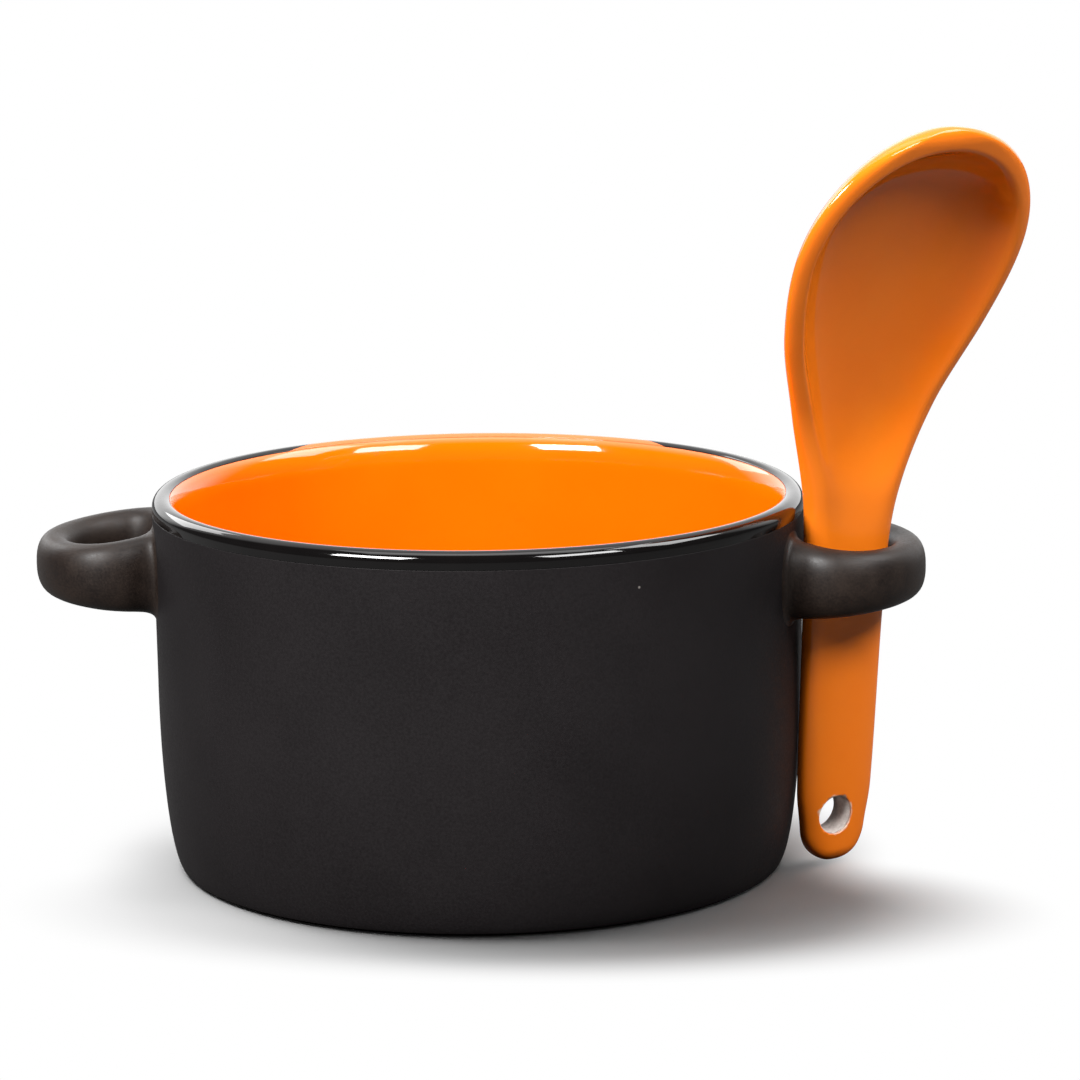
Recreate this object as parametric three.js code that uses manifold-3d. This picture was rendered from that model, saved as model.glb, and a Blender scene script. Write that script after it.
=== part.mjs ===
import * as THREE from 'three';
import { mergeVertices } from 'three/addons/utils/BufferGeometryUtils.js';
import Module from 'manifold-3d';

// A soup mug of glazed stoneware. Sizes are in millimetres. The mug stands on z = 0 with its
// axis on Z, and the handle that carries the spoon points along +X.

// Pot
const RIM_DIAMETER = 127;
const HEIGHT = 74;
const FOOT_INSET = 5;
const HEEL_HEIGHT = 39;
const WALL_FLARE = 0.4;
const LIP_THICKNESS = 4.2;
const FLOOR_THICKNESS = 6;
const FOOT_RING_WIDTH = 5;
const FOOT_RECESS = 1;
const INNER_CORNER = 14;
const INNER_TAPER = 0.9;
const HEEL_CLEARANCE = 2;
const TURN_SEGMENTS = 54;

// Glaze coats
const COAT = 0.4;
const COAT_FIT = 0.05;
const RIM_BAND = 3.4;
const LINER_EDGE_ANGLE = 2.3;

// Loop handles: the reach is taken past the rim, and the drop from the rim to the middle
const HANDLE_REACH = 23.8;
const HANDLE_DROP = 14.6;
const LOOP_CENTRE_OUT = 7.2;
const LOOP_SQUARENESS = 1.9;
const LOOP_SECTION_SQUARENESS = 2.5;
const LOOP_END_HEIGHT = 11.2;
const LOOP_END_THICKNESS = 7.2;
const LOOP_ROOT_HEIGHT = 14.9;
const LOOP_ROOT_THICKNESS = 7.6;
const ROOT_FLARE = 2.4;
const ROOT_FLARE_LENGTH = 4;
const ROOT_STRAIGHT = 1.5;
const ROOT_DEPTH = 4;
const SLIP_THICKNESS = 0.6;
const SLIP_FIT = 0.1;

// How the spoon stands in its handle
const SPOON_TURN = 0.7112;
const SPOON_LEAN = 0.0749;
const SPOON_FORWARD = 2.4;
const SPOON_INWARD = 0.2;
const SPOON_EDGE_ROOM = 1.217;
const SPOON_ARM_ROOM = 0.47;
const TAIL_CLEARANCE = 0.2;

// Spoon: places on the grip are taken from its tail, and those above it from the handle
const SPOON_ABOVE_LOOP = 94.3;
const SPOON_BEND = 0.3664;
const BEND_BELOW_LOOP = 4.9;
const BEND_END_ABOVE_LOOP = 56.6;
const TAIL_ROUNDING = 6.6;
const TAIL_WIDTH = 14.6;
const GRIP_AT = 15;
const GRIP_WIDTH = 17.1;
const GRIP_END_BELOW_LOOP = 5.4;
const NECK_ABOVE_LOOP = 14.6;
const NECK_WIDTH = 21.95;
const BOWL_WIDEST_ABOVE_LOOP = 67.2;
const BOWL_WIDTH = 55;
const BOWL_DEEPEST_ABOVE_LOOP = 58;
const BOWL_END_LENGTH = 19;
const GRIP_THICKNESS = 5.8;
const NECK_THICKNESS = 7.2;
const END_ROUNDING = 3;
const GRIP_SQUARENESS = 2.5;
const PILLOW_SQUARENESS = 2.8;
const BEAD_SQUARENESS = 14;
const BEAD_POWER = 0.5;
const NECK_STEEPNESS = 2.5;
const HOLLOW_STEEPNESS = 5;
const BELLY_POWER = 0.774;
const BOWL_SHAPE_BELOW_NECK = 10;
const BACK_BELOW_NECK = 5;
const BOWL_DEPTH = 11.2;
const BOWL_RIM = 3.5;
const BOWL_RIM_RUN = 20;
const BOWL_RIM_BLEND = 1.3;
const BOWL_WALL = 3.4;
const HOLLOW_ABOVE_LOOP = 1.6;
const HOLLOW_FADE = 14;
const HOLLOW_PAST_DEEPEST = 2;
const FLOOR_RISE = 2;
const TIP_RIM = 4.2;
const HOLE_DIAMETER = 7.3;
const HOLE_FROM_TAIL = 10;
const HOLE_OFFSET = -1.3;
const HOLE_GLAZE_STEP = 0.25;

const wasm = await Module();
wasm.setup();

const rimRadius = RIM_DIAMETER / 2;
const footRadius = rimRadius - FOOT_INSET;
const lipRadius = LIP_THICKNESS / 2;
const lipCentre = new THREE.Vector2(rimRadius - lipRadius, HEIGHT - lipRadius);
const heelRadius = rimRadius - WALL_FLARE;
const floorTop = FOOT_RECESS + FLOOR_THICKNESS;
const bandBottom = HEIGHT - RIM_BAND;
const handleHeight = HEIGHT - HANDLE_DROP;

// The turned spoon spans the opening between the wall and the end of the loop.
const loopOpening = HANDLE_REACH - LOOP_END_THICKNESS;
const gripEndWidth = (loopOpening - 2 * SPOON_EDGE_ROOM) / Math.cos(SPOON_TURN);
const loopHalfWidth = SPOON_FORWARD + gripEndWidth / 2 * Math.sin(SPOON_TURN)
  + NECK_THICKNESS / 2 * Math.cos(SPOON_TURN) + SPOON_ARM_ROOM + LOOP_ROOT_THICKNESS / 2 + ROOT_FLARE;
const loopAt = (handleHeight - TAIL_CLEARANCE) / Math.cos(SPOON_LEAN);
const spoonLength = loopAt + SPOON_ABOVE_LOOP;
const neckAt = loopAt + NECK_ABOVE_LOOP;
const widestAt = loopAt + BOWL_WIDEST_ABOVE_LOOP;
const deepestAt = loopAt + BOWL_DEEPEST_ABOVE_LOOP;
const hollowStart = loopAt + HOLLOW_ABOVE_LOOP;
const hollowDeepest = deepestAt + HOLLOW_PAST_DEEPEST;
const hollowEnd = spoonLength - TIP_RIM;

function wallRadius(z) {
  if (z < HEEL_HEIGHT) {
    const drop = (HEEL_HEIGHT - z) / HEEL_HEIGHT;
    return footRadius + (heelRadius - footRadius) * Math.sqrt(1 - drop * drop);
  }
  return heelRadius + WALL_FLARE * (z - HEEL_HEIGHT) / (lipCentre.y - HEEL_HEIGHT);
}

function arc(centreR, centreZ, radius, from, to, steps) {
  const points = [];
  for (let i = 0; i <= steps; i++) {
    const a = from + (to - from) * i / steps;
    points.push(new THREE.Vector2(centreR + radius * Math.cos(a), centreZ + radius * Math.sin(a)));
  }
  return points;
}

function turned(profile) {
  const geometry = new THREE.LatheGeometry(profile, TURN_SEGMENTS);
  geometry.rotateX(Math.PI / 2);
  return geometry;
}

// The inside of the cup, from the lip down to the middle of the floor, moved into the clay by depth.
function cupInside(depth, edgeAngle) {
  const cornerR = lipCentre.x - lipRadius - INNER_TAPER - INNER_CORNER;
  const cornerZ = floorTop + INNER_CORNER;
  return [
    ...arc(lipCentre.x, lipCentre.y, lipRadius - depth, edgeAngle, Math.PI, 3),
    ...arc(cornerR, cornerZ, INNER_CORNER + depth, 0, -Math.PI / 2, 5),
    new THREE.Vector2(0, floorTop - depth),
  ];
}

function heel() {
  const points = [];
  for (let i = 0; i <= 8; i++) {
    const z = HEEL_HEIGHT * (1 - Math.cos(i / 8 * Math.PI / 2));
    points.push(new THREE.Vector2(wallRadius(z), z));
  }
  return points;
}

// The clay pot is a touch thinner where a glaze coat lies on it.
function potGeometry() {
  const under = COAT + COAT_FIT;
  return turned([
    new THREE.Vector2(0, FOOT_RECESS),
    new THREE.Vector2(footRadius - FOOT_RING_WIDTH - FOOT_RECESS, FOOT_RECESS),
    new THREE.Vector2(footRadius - FOOT_RING_WIDTH, 0),
    ...heel(),
    new THREE.Vector2(wallRadius(bandBottom), bandBottom),
    new THREE.Vector2(wallRadius(bandBottom) - under, bandBottom),
    ...arc(lipCentre.x, lipCentre.y, lipRadius - under, 0, LINER_EDGE_ANGLE, 4),
    ...cupInside(under, LINER_EDGE_ANGLE).slice(1),
  ]);
}

// The orange coat runs from the inner edge of the lip over the wall and floor.
function linerGeometry() {
  const edge = LINER_EDGE_ANGLE + COAT_FIT / lipRadius;
  return turned([...cupInside(COAT, edge).reverse(), ...cupInside(0, edge)]);
}

// The black gloss coat wraps the lip and ends in a level band on the outside.
function rimGeometry() {
  const edge = LINER_EDGE_ANGLE - COAT_FIT / lipRadius;
  const bottom = bandBottom + COAT_FIT;
  const outside = [
    new THREE.Vector2(wallRadius(bottom), bottom),
    ...arc(lipCentre.x, lipCentre.y, lipRadius, 0, edge, 6),
  ];
  const inside = [
    ...arc(lipCentre.x, lipCentre.y, lipRadius - COAT, edge, 0, 6),
    new THREE.Vector2(wallRadius(bottom) - COAT, bottom),
  ];
  return turned([...outside, ...inside, outside[0].clone()]);
}

function signedPower(value, power) {
  return Math.sign(value) * Math.pow(Math.abs(value), power);
}

// Rings of points joined into a closed skin, with a point at each end.
function loft(first, rings, last) {
  const count = rings[0].length;
  const positions = [first, ...rings.flat(), last].flatMap((p) => [p.x, p.y, p.z]);
  const end = rings.length * count + 1;
  const index = [];
  for (let j = 0; j < count; j++) {
    const k = (j + 1) % count;
    index.push(0, 1 + j, 1 + k);
    for (let i = 0; i + 1 < rings.length; i++) {
      const a = 1 + i * count;
      const b = a + count;
      index.push(a + j, b + j, a + k);
      index.push(a + k, b + j, b + k);
    }
    index.push(end, end - count + k, end - count + j);
  }
  const geometry = new THREE.BufferGeometry();
  geometry.setAttribute('position', new THREE.Float32BufferAttribute(positions, 3));
  geometry.setIndex(index);
  geometry.computeVertexNormals();
  return geometry;
}

function solid(geometry) {
  const bare = geometry.clone();
  bare.deleteAttribute('normal');
  bare.deleteAttribute('uv');
  const merged = mergeVertices(bare, 1e-4);
  const corners = merged.index.array;
  const triangles = [];
  for (let i = 0; i < corners.length; i += 3) {
    const [a, b, c] = [corners[i], corners[i + 1], corners[i + 2]];
    if (a !== b && b !== c && c !== a) triangles.push(a, b, c);
  }
  return new wasm.Manifold(new wasm.Mesh({
    numProp: 3,
    vertProperties: Float32Array.from(merged.attributes.position.array),
    triVerts: Uint32Array.from(triangles),
  }));
}

function surface(body) {
  const mesh = body.getMesh();
  const geometry = new THREE.BufferGeometry();
  geometry.setAttribute('position', new THREE.BufferAttribute(mesh.vertProperties, 3));
  geometry.setIndex(new THREE.BufferAttribute(mesh.triVerts, 1));
  geometry.computeVertexNormals();
  return geometry;
}

// One loop: an oval roll of clay bent into a ring that opens on to the wall. It grows taller
// towards its two roots, which flare where they meet the wall.
const loopCentre = rimRadius + LOOP_CENTRE_OUT;
const loopReach = HANDLE_REACH - LOOP_END_THICKNESS / 2 - LOOP_CENTRE_OUT;
const rootStart = rimRadius + ROOT_STRAIGHT;
const rootAngle = Math.PI / 2
  + Math.asin(Math.pow((loopCentre - rootStart) / loopReach, LOOP_SQUARENESS / 2));

function loopMiddle(angle) {
  return new THREE.Vector3(
    loopCentre + loopReach * signedPower(Math.cos(angle), 2 / LOOP_SQUARENESS),
    loopHalfWidth * signedPower(Math.sin(angle), 2 / LOOP_SQUARENESS),
    handleHeight,
  );
}

function loopSection(middle, along) {
  const around = 18;
  const outward = new THREE.Vector3(along.y, -along.x, 0);
  const fromWall = Math.hypot(middle.x, middle.y) - rimRadius;
  const toRoot = Math.pow((loopCentre + loopReach - middle.x) / (loopCentre + loopReach - rimRadius), 1.5);
  const flare = ROOT_FLARE * Math.pow(1 - Math.min(1, Math.max(0, fromWall / ROOT_FLARE_LENGTH)), 2);
  const height = LOOP_END_HEIGHT + (LOOP_ROOT_HEIGHT - LOOP_END_HEIGHT) * toRoot + flare;
  const thickness = LOOP_END_THICKNESS + (LOOP_ROOT_THICKNESS - LOOP_END_THICKNESS) * toRoot + flare;
  const ring = [];
  for (let j = 0; j < around; j++) {
    const b = 2 * Math.PI * j / around;
    const out = thickness / 2 * signedPower(Math.cos(b), 2 / LOOP_SECTION_SQUARENESS);
    const up = height / 2 * signedPower(Math.sin(b), 2 / LOOP_SECTION_SQUARENESS);
    const point = middle.clone().addScaledVector(outward, out);
    point.z += up;
    ring.push(point);
  }
  return ring;
}

function loopGeometry() {
  const stations = 24;
  const rootSteps = 4;
  const middles = [];
  for (let i = 0; i <= stations; i++) middles.push(loopMiddle((2 * i / stations - 1) * rootAngle));
  const inward = loopMiddle(rootAngle).sub(loopMiddle(rootAngle - 0.02)).normalize();
  const last = middles[stations].clone();
  const depth = (rootStart - rimRadius + ROOT_DEPTH) / -inward.x;
  for (let i = 1; i <= rootSteps; i++) {
    const tip = last.clone().addScaledVector(inward, depth * i / rootSteps);
    middles.push(tip);
    middles.unshift(new THREE.Vector3(tip.x, -tip.y, tip.z));
  }
  const rings = middles.map((middle, i) => {
    const before = middles[Math.max(0, i - 1)];
    const after = middles[Math.min(middles.length - 1, i + 1)];
    return loopSection(middle, after.clone().sub(before).normalize());
  });
  return loft(middles[0], rings, middles[middles.length - 1]);
}

// The straight part of the wall as a solid core, grown outward, for trimming the handle roots.
function wallCore(growth) {
  const low = HEEL_HEIGHT + HEEL_CLEARANCE;
  const high = lipCentre.y;
  return solid(turned([
    new THREE.Vector2(0, low),
    new THREE.Vector2(wallRadius(low) + growth, low),
    new THREE.Vector2(wallRadius(high) + growth, high),
    new THREE.Vector2(0, high),
  ]));
}

// Each root is luted to the wall with a thin layer of slip, front and back.
const loop = solid(loopGeometry());
const handle = loop.subtract(wallCore(SLIP_THICKNESS + 2 * SLIP_FIT));
const slips = loop.intersect(wallCore(SLIP_THICKNESS + SLIP_FIT)).subtract(wallCore(SLIP_FIT));
const half = new THREE.BoxGeometry(4 * RIM_DIAMETER, 2 * RIM_DIAMETER, 4 * HEIGHT);
half.translate(0, -RIM_DIAMETER, 0);
const frontSlip = slips.intersect(solid(half));
const backSlip = slips.subtract(solid(half));

// Half the spoon's width along its length.
function spoonHalfWidth(s) {
  const shoulder = widestAt - neckAt;
  const widths = [
    [0, TAIL_WIDTH * 0.94],
    [TAIL_ROUNDING, TAIL_WIDTH],
    [GRIP_AT, GRIP_WIDTH],
    [loopAt - GRIP_END_BELOW_LOOP, gripEndWidth],
    [neckAt, NECK_WIDTH],
    [neckAt + shoulder * 0.345, NECK_WIDTH + (BOWL_WIDTH - NECK_WIDTH) * 0.37],
    [neckAt + shoulder * 0.68, NECK_WIDTH + (BOWL_WIDTH - NECK_WIDTH) * 0.808],
    [widestAt, BOWL_WIDTH],
  ];
  if (s >= widestAt) {
    const t = (s - widestAt) / (spoonLength - widestAt);
    return BOWL_WIDTH / 2 * Math.sqrt(Math.max(0, 1 - t * t));
  }
  let i = 0;
  while (i + 2 < widths.length && s > widths[i + 1][0]) i++;
  const [s0, w0] = widths[i];
  const [s1, w1] = widths[i + 1];
  const slope = (k) => {
    if (k === 0) return (w1 - w0) / (s1 - s0);
    if (k === widths.length - 1) return 0;
    return (widths[k + 1][1] - widths[k - 1][1]) / (widths[k + 1][0] - widths[k - 1][0]);
  };
  const t = (s - s0) / (s1 - s0);
  const h = s1 - s0;
  const width = w0 * (1 + 2 * t) * (1 - t) * (1 - t) + w1 * t * t * (3 - 2 * t)
    + h * slope(i) * t * (1 - t) * (1 - t) - h * slope(i + 1) * t * t * (1 - t);
  const rounding = Math.max(0, 1 - s / TAIL_ROUNDING);
  return width / 2 * Math.sqrt(1 - rounding * rounding);
}

// Rises from 0 to 1 between two places along the spoon.
function ease(s, from, to) {
  const t = Math.min(1, Math.max(0, (s - from) / (to - from)));
  return t * t * (3 - 2 * t);
}

// Turns a value for the grip into the one for the bowl along the neck.
function toBowl(s, grip, bowl) {
  return grip + (bowl - grip) * ease(s, neckAt - BOWL_SHAPE_BELOW_NECK, widestAt);
}

// Rounds the thickness off to nothing at both ends of the spoon.
function endRounding(s) {
  const near = Math.max(0, 1 - Math.min(s, spoonLength - s) / END_ROUNDING);
  return Math.sqrt(1 - near * near);
}

// How far the front and the back stand off the widest plane, before the bowl is hollowed.
function spoonFront(s) {
  const grip = GRIP_THICKNESS / 2;
  const neck = NECK_THICKNESS / 2;
  const rim = BOWL_RIM / 2;
  const swell = (neck - grip) * ease(s, GRIP_AT, neckAt);
  const thinning = (rim - neck) * ease(s, neckAt, neckAt + BOWL_RIM_RUN);
  return (grip + swell + thinning) * endRounding(s);
}

function spoonBack(s) {
  const grip = GRIP_THICKNESS / 2;
  const neck = NECK_THICKNESS / 2;
  if (s > deepestAt) {
    const t = (s - deepestAt) / (spoonLength - deepestAt);
    return BOWL_DEPTH * Math.pow(1 - Math.pow(t, 2.2), 0.55);
  }
  const swell = (neck - grip) * ease(s, GRIP_AT, neckAt);
  const belly = (BOWL_DEPTH - neck) * ease(s, neckAt - BACK_BELOW_NECK, deepestAt);
  return (grip + swell + belly) * endRounding(s);
}

// The back is a flat pillow under the grip and turns into a round belly under the bowl.
function spoonBackAt(s, across) {
  const x = Math.min(1, Math.abs(across) / spoonHalfWidth(s));
  const squareness = toBowl(s, GRIP_SQUARENESS, 2);
  const power = toBowl(s, 1 / GRIP_SQUARENESS, BELLY_POWER);
  return -spoonBack(s) * Math.pow(1 - Math.pow(x, squareness), power);
}

// The hollow of the bowl: its floor under the widest plane, which rises a little towards the tip.
function hollowFloor(s) {
  const full = BOWL_DEPTH - BOWL_WALL + spoonFront(widestAt);
  const rise = Math.max(0, s - hollowDeepest) / (hollowEnd - hollowDeepest);
  return full * ease(s, hollowStart, hollowDeepest) - spoonFront(s) - FLOOR_RISE * rise * rise;
}

// The front at one place across the spoon: a soft pillow, hollowed out in the bowl. The hollow's edge
// keeps a rim inside the outline and is round at the tip.
function spoonFrontAt(s, across) {
  const halfWidth = spoonHalfWidth(s);
  const front = spoonFront(s);
  const x = Math.min(1, Math.abs(across) / halfWidth);
  const squareness = toBowl(s, PILLOW_SQUARENESS, BEAD_SQUARENESS);
  const pillow = front * Math.pow(1 - Math.pow(x, squareness), toBowl(s, 1 / PILLOW_SQUARENESS, BEAD_POWER));
  if (s <= hollowStart) return pillow;
  const edge = spoonHalfWidth(Math.min(s, widestAt)) - BOWL_RIM;
  const past = Math.max(0, s - widestAt) / (hollowEnd - widestAt);
  const floor = hollowFloor(s);
  const steepness = toBowl(s, NECK_STEEPNESS, HOLLOW_STEEPNESS);
  const hollow = (front + floor) * Math.pow(Math.hypot(across / edge, past), steepness) - floor;
  const mix = Math.min(1, Math.max(0, 0.5 + (hollow - pillow) / (2 * BOWL_RIM_BLEND)));
  const fade = ease(s, hollowStart, hollowStart + HOLLOW_FADE);
  return hollow + (pillow - hollow) * mix - BOWL_RIM_BLEND * mix * (1 - mix) * fade;
}

// The middle line of the spoon: straight through the grip, then curving forward into the bowl.
const spineSteps = 320;
const spineStep = spoonLength / spineSteps;
const spine = [];

function spineAngle(s) {
  return SPOON_BEND * ease(s, loopAt - BEND_BELOW_LOOP, loopAt + BEND_END_ABOVE_LOOP);
}

for (let i = 0, along = 0, out = 0; i <= spineSteps; i++) {
  const angle = spineAngle((i + 0.5) * spineStep);
  spine.push([along, out]);
  along += spineStep * Math.cos(angle);
  out += spineStep * Math.sin(angle);
}

const spoonUp = new THREE.Vector3(
  Math.sin(SPOON_LEAN) * Math.sin(SPOON_TURN),
  -Math.sin(SPOON_LEAN) * Math.cos(SPOON_TURN),
  Math.cos(SPOON_LEAN),
);
const spoonAcross = new THREE.Vector3(Math.cos(SPOON_TURN), Math.sin(SPOON_TURN), 0);
const spoonForward = spoonAcross.clone().cross(spoonUp);
const spoonTail = new THREE.Vector3(rimRadius + loopOpening / 2 - SPOON_INWARD, -SPOON_FORWARD, handleHeight)
  .addScaledVector(spoonUp, -loopAt);

function spoonPoint(s, across, forward) {
  const i = Math.min(spineSteps - 1, Math.floor(s / spineStep));
  const t = s / spineStep - i;
  const along = spine[i][0] + (spine[i + 1][0] - spine[i][0]) * t;
  const out = spine[i][1] + (spine[i + 1][1] - spine[i][1]) * t;
  const angle = spineAngle(s);
  return spoonTail.clone()
    .addScaledVector(spoonUp, along - forward * Math.sin(angle))
    .addScaledVector(spoonForward, out + forward * Math.cos(angle))
    .addScaledVector(spoonAcross, across);
}

function spoonSkin(depth) {
  const around = 28;
  const bowlEnd = spoonLength - BOWL_END_LENGTH;
  const places = [];
  for (let i = 1; i <= 5; i++) places.push(TAIL_ROUNDING * (1 - Math.cos(i / 5 * Math.PI / 2)));
  for (let i = 1; i <= 18; i++) places.push(TAIL_ROUNDING + (bowlEnd - TAIL_ROUNDING) * i / 18);
  for (let i = 1; i <= 8; i++) places.push(bowlEnd + BOWL_END_LENGTH * Math.sin(i / 9.2 * Math.PI / 2));
  const rings = places.map((s) => {
    const ring = [];
    for (let j = 0; j < around; j++) {
      const a = 2 * Math.PI * j / around;
      const across = spoonHalfWidth(s) * signedPower(Math.cos(a), toBowl(s, 0.8, 0.6));
      const forward = Math.sin(a) < -1e-9 ? spoonBackAt(s, across) : spoonFrontAt(s, across);
      ring.push(spoonPoint(s, across, forward));
    }
    return ring;
  });
  const geometry = loft(spoonPoint(0, 0, 0), rings, spoonPoint(spoonLength, 0, 0));
  const position = geometry.attributes.position;
  const normal = geometry.attributes.normal;
  for (let i = 0; i < position.count; i++) {
    position.setXYZ(
      i,
      position.getX(i) - depth * normal.getX(i),
      position.getY(i) - depth * normal.getY(i),
      position.getZ(i) - depth * normal.getZ(i),
    );
  }
  return geometry;
}

function spoonHole(diameter) {
  const geometry = new THREE.CylinderGeometry(diameter / 2, diameter / 2, 4 * GRIP_THICKNESS, 24);
  const basis = new THREE.Matrix4().makeBasis(spoonAcross, spoonForward, spoonUp.clone().negate());
  geometry.applyMatrix4(basis);
  const centre = spoonPoint(HOLE_FROM_TAIL, HOLE_OFFSET, 0);
  geometry.translate(centre.x, centre.y, centre.z);
  return solid(geometry);
}

// The clay spoon shows only in the bore of the hanging hole, where the glaze stops short.
const spoonClay = solid(spoonSkin(COAT + COAT_FIT)).subtract(spoonHole(HOLE_DIAMETER));
const spoonCoat = solid(spoonSkin(0)).subtract(solid(spoonSkin(COAT)))
  .subtract(spoonHole(HOLE_DIAMETER + 2 * HOLE_GLAZE_STEP));

const mattBlack = new THREE.MeshStandardMaterial({ color: 0x2e2d2d, roughness: 0.62, metalness: 0 });
const handleBlack = new THREE.MeshStandardMaterial({ color: 0x38342f, roughness: 0.55, metalness: 0 });
const glossBlack = new THREE.MeshStandardMaterial({ color: 0x0d0d0e, roughness: 0.08, metalness: 0 });
const linerOrange = new THREE.MeshStandardMaterial({ color: 0xff8000, roughness: 0.1, metalness: 0 });
const spoonOrange = new THREE.MeshStandardMaterial({ color: 0xf5871e, roughness: 0.12, metalness: 0 });
const bareClay = new THREE.MeshStandardMaterial({ color: 0xe4dfd8, roughness: 0.8, metalness: 0 });

const mug = new THREE.Group();
mug.name = 'soup_mug';

function place(name, geometry, material, turn = 0) {
  const shape = geometry.clone();
  shape.rotateZ(turn);
  const mesh = new THREE.Mesh(shape, material);
  mesh.name = name;
  mug.add(mesh);
}

place('pot', potGeometry(), mattBlack);
place('liner_glaze', linerGeometry(), linerOrange);
place('rim_glaze', rimGeometry(), glossBlack);
place('right_handle', surface(handle), handleBlack);
place('right_front_slip', surface(frontSlip), handleBlack);
place('right_back_slip', surface(backSlip), handleBlack);
place('left_handle', surface(handle), handleBlack, Math.PI);
place('left_front_slip', surface(backSlip), handleBlack, Math.PI);
place('left_back_slip', surface(frontSlip), handleBlack, Math.PI);
place('spoon_body', surface(spoonClay), bareClay);
place('spoon_glaze', surface(spoonCoat), spoonOrange);

export default mug;
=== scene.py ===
import math

import bmesh
import bpy
from mathutils import Matrix, Vector


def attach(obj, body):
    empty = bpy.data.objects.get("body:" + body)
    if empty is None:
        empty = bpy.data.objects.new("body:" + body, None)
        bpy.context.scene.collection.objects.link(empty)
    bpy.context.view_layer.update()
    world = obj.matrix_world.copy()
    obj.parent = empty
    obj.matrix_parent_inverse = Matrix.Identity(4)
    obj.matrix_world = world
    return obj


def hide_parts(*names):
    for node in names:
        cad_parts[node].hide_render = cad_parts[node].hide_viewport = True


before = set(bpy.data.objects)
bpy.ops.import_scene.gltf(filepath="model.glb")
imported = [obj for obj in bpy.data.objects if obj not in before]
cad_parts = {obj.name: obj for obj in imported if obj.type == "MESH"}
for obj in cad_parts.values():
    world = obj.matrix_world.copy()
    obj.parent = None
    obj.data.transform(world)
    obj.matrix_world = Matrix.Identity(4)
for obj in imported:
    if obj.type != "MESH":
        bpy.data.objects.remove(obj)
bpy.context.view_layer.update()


# Pot
# The pot is jiggered from buff stoneware: a level foot ring, a round heel and a nearly straight
# wall. It is dipped in a matt black glaze, and the foot ring is wiped bare before firing.
# Sizes here and below are in millimetres.

MM = 0.001
RIM_RADIUS = 63.5
POT_HEIGHT = 74
FOOT_RADIUS = 58.5
HEEL_HEIGHT, HEEL_RADIUS, HEEL_START = 39, 63.1, 0.6
WALL_HEIGHTS = (45, 52, 59, 66)
LIP_RADIUS = 2.1
LIP_CENTRE = (RIM_RADIUS - LIP_RADIUS, POT_HEIGHT - LIP_RADIUS)
FLOOR_TOP = 7
INNER_CORNER = 14
CORNER_CENTRE = (44.4, FLOOR_TOP + INNER_CORNER)
FOOT_RING, FOOT_RECESS = 5, 1
RECESS_ROLL, RECESS_RUN = 0.5, 3
RING_INNER_ROLL = (0.6, 0.3)
RING_OUTER_ROLL = 0.5
UNDER_COAT = 0.45
BAND_BOTTOM, BAND_SHOULDER = 70.6, 0.1
TURN_STEPS, HEEL_STEPS, EDGE_STEPS = 240, 24, 4
UNDER_LIP_STEPS, UNDER_CORNER_STEPS = 16, 20
QUARTER = math.pi / 2


def wall_radius(z):
    if z < HEEL_HEIGHT:
        drop = (HEEL_HEIGHT - z) / HEEL_HEIGHT
        return FOOT_RADIUS + (HEEL_RADIUS - FOOT_RADIUS) * math.sqrt(1 - drop * drop)
    rise = (z - HEEL_HEIGHT) / (LIP_CENTRE[1] - HEEL_HEIGHT)
    return HEEL_RADIUS + (RIM_RADIUS - HEEL_RADIUS) * rise


def arc(centre, radii, start, end, steps):
    turns = [start + (end - start) * i / steps for i in range(steps + 1)]
    return [(centre[0] + radii[0] * math.cos(a), centre[1] + radii[1] * math.sin(a)) for a in turns]


def turned(profile, closed):
    """A profile of radius and height, spun once round the mug's axis."""
    bm = bmesh.new()
    verts = [bm.verts.new((r * MM, 0, z * MM)) for r, z in profile]
    edges = [bm.edges.new(pair) for pair in zip(verts, verts[1:])]
    if closed:
        edges.append(bm.edges.new((verts[-1], verts[0])))
    bmesh.ops.spin(bm, geom=verts + edges, cent=(0, 0, 0), axis=(0, 0, 1), dvec=(0, 0, 0),
                   angle=math.tau, steps=TURN_STEPS, use_merge=True, use_duplicate=False)
    bmesh.ops.remove_doubles(bm, verts=bm.verts, dist=1e-6)
    bmesh.ops.recalc_face_normals(bm, faces=bm.faces)
    return bm


mug_and_spoon = bpy.data.collections.new("mug_and_spoon")


def add_piece(bm, name, material, body, nodes):
    """Makes a finished mesh into an object that rides on its body and stands for CAD nodes."""
    for face in bm.faces:
        face.smooth = True
    mesh = bpy.data.meshes.new(name)
    bm.to_mesh(mesh)
    bm.free()
    mesh.materials.append(material)
    made = bpy.data.objects.new(name, mesh)
    bpy.context.scene.collection.objects.link(made)
    mug_and_spoon.objects.link(made)
    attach(made, body)
    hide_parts(*nodes)
    return made


def linear(code):
    """An sRGB hex colour as linear red, green, blue and alpha."""
    parts = [int(code[i:i + 2], 16) / 255 for i in (1, 3, 5)]
    return tuple(c / 12.92 if c <= 0.04045 else ((c + 0.055) / 1.055) ** 2.4 for c in parts) + (1,)


def set_inputs(owner, node, inputs):
    """Sets a node's inputs, or links them where the value is another node's output."""
    for socket, value in inputs.items():
        if isinstance(value, bpy.types.NodeSocket):
            owner.node_tree.links.new(value, node.inputs[socket])
        else:
            node.inputs[socket].default_value = value


def add_node(owner, kind, inputs, **settings):
    """Adds one node with its settings and links to a material or the world."""
    node = owner.node_tree.nodes.new(kind)
    for name, value in settings.items():
        setattr(node, name, value)
    set_inputs(owner, node, inputs)
    return node


def new_material(name):
    """A new material, its main shader and its Object coordinates."""
    material = bpy.data.materials.new(name)
    material.use_nodes = True
    place = add_node(material, "ShaderNodeTexCoord", {}).outputs["Object"]
    return material, material.node_tree.nodes["Principled BSDF"], place


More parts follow.
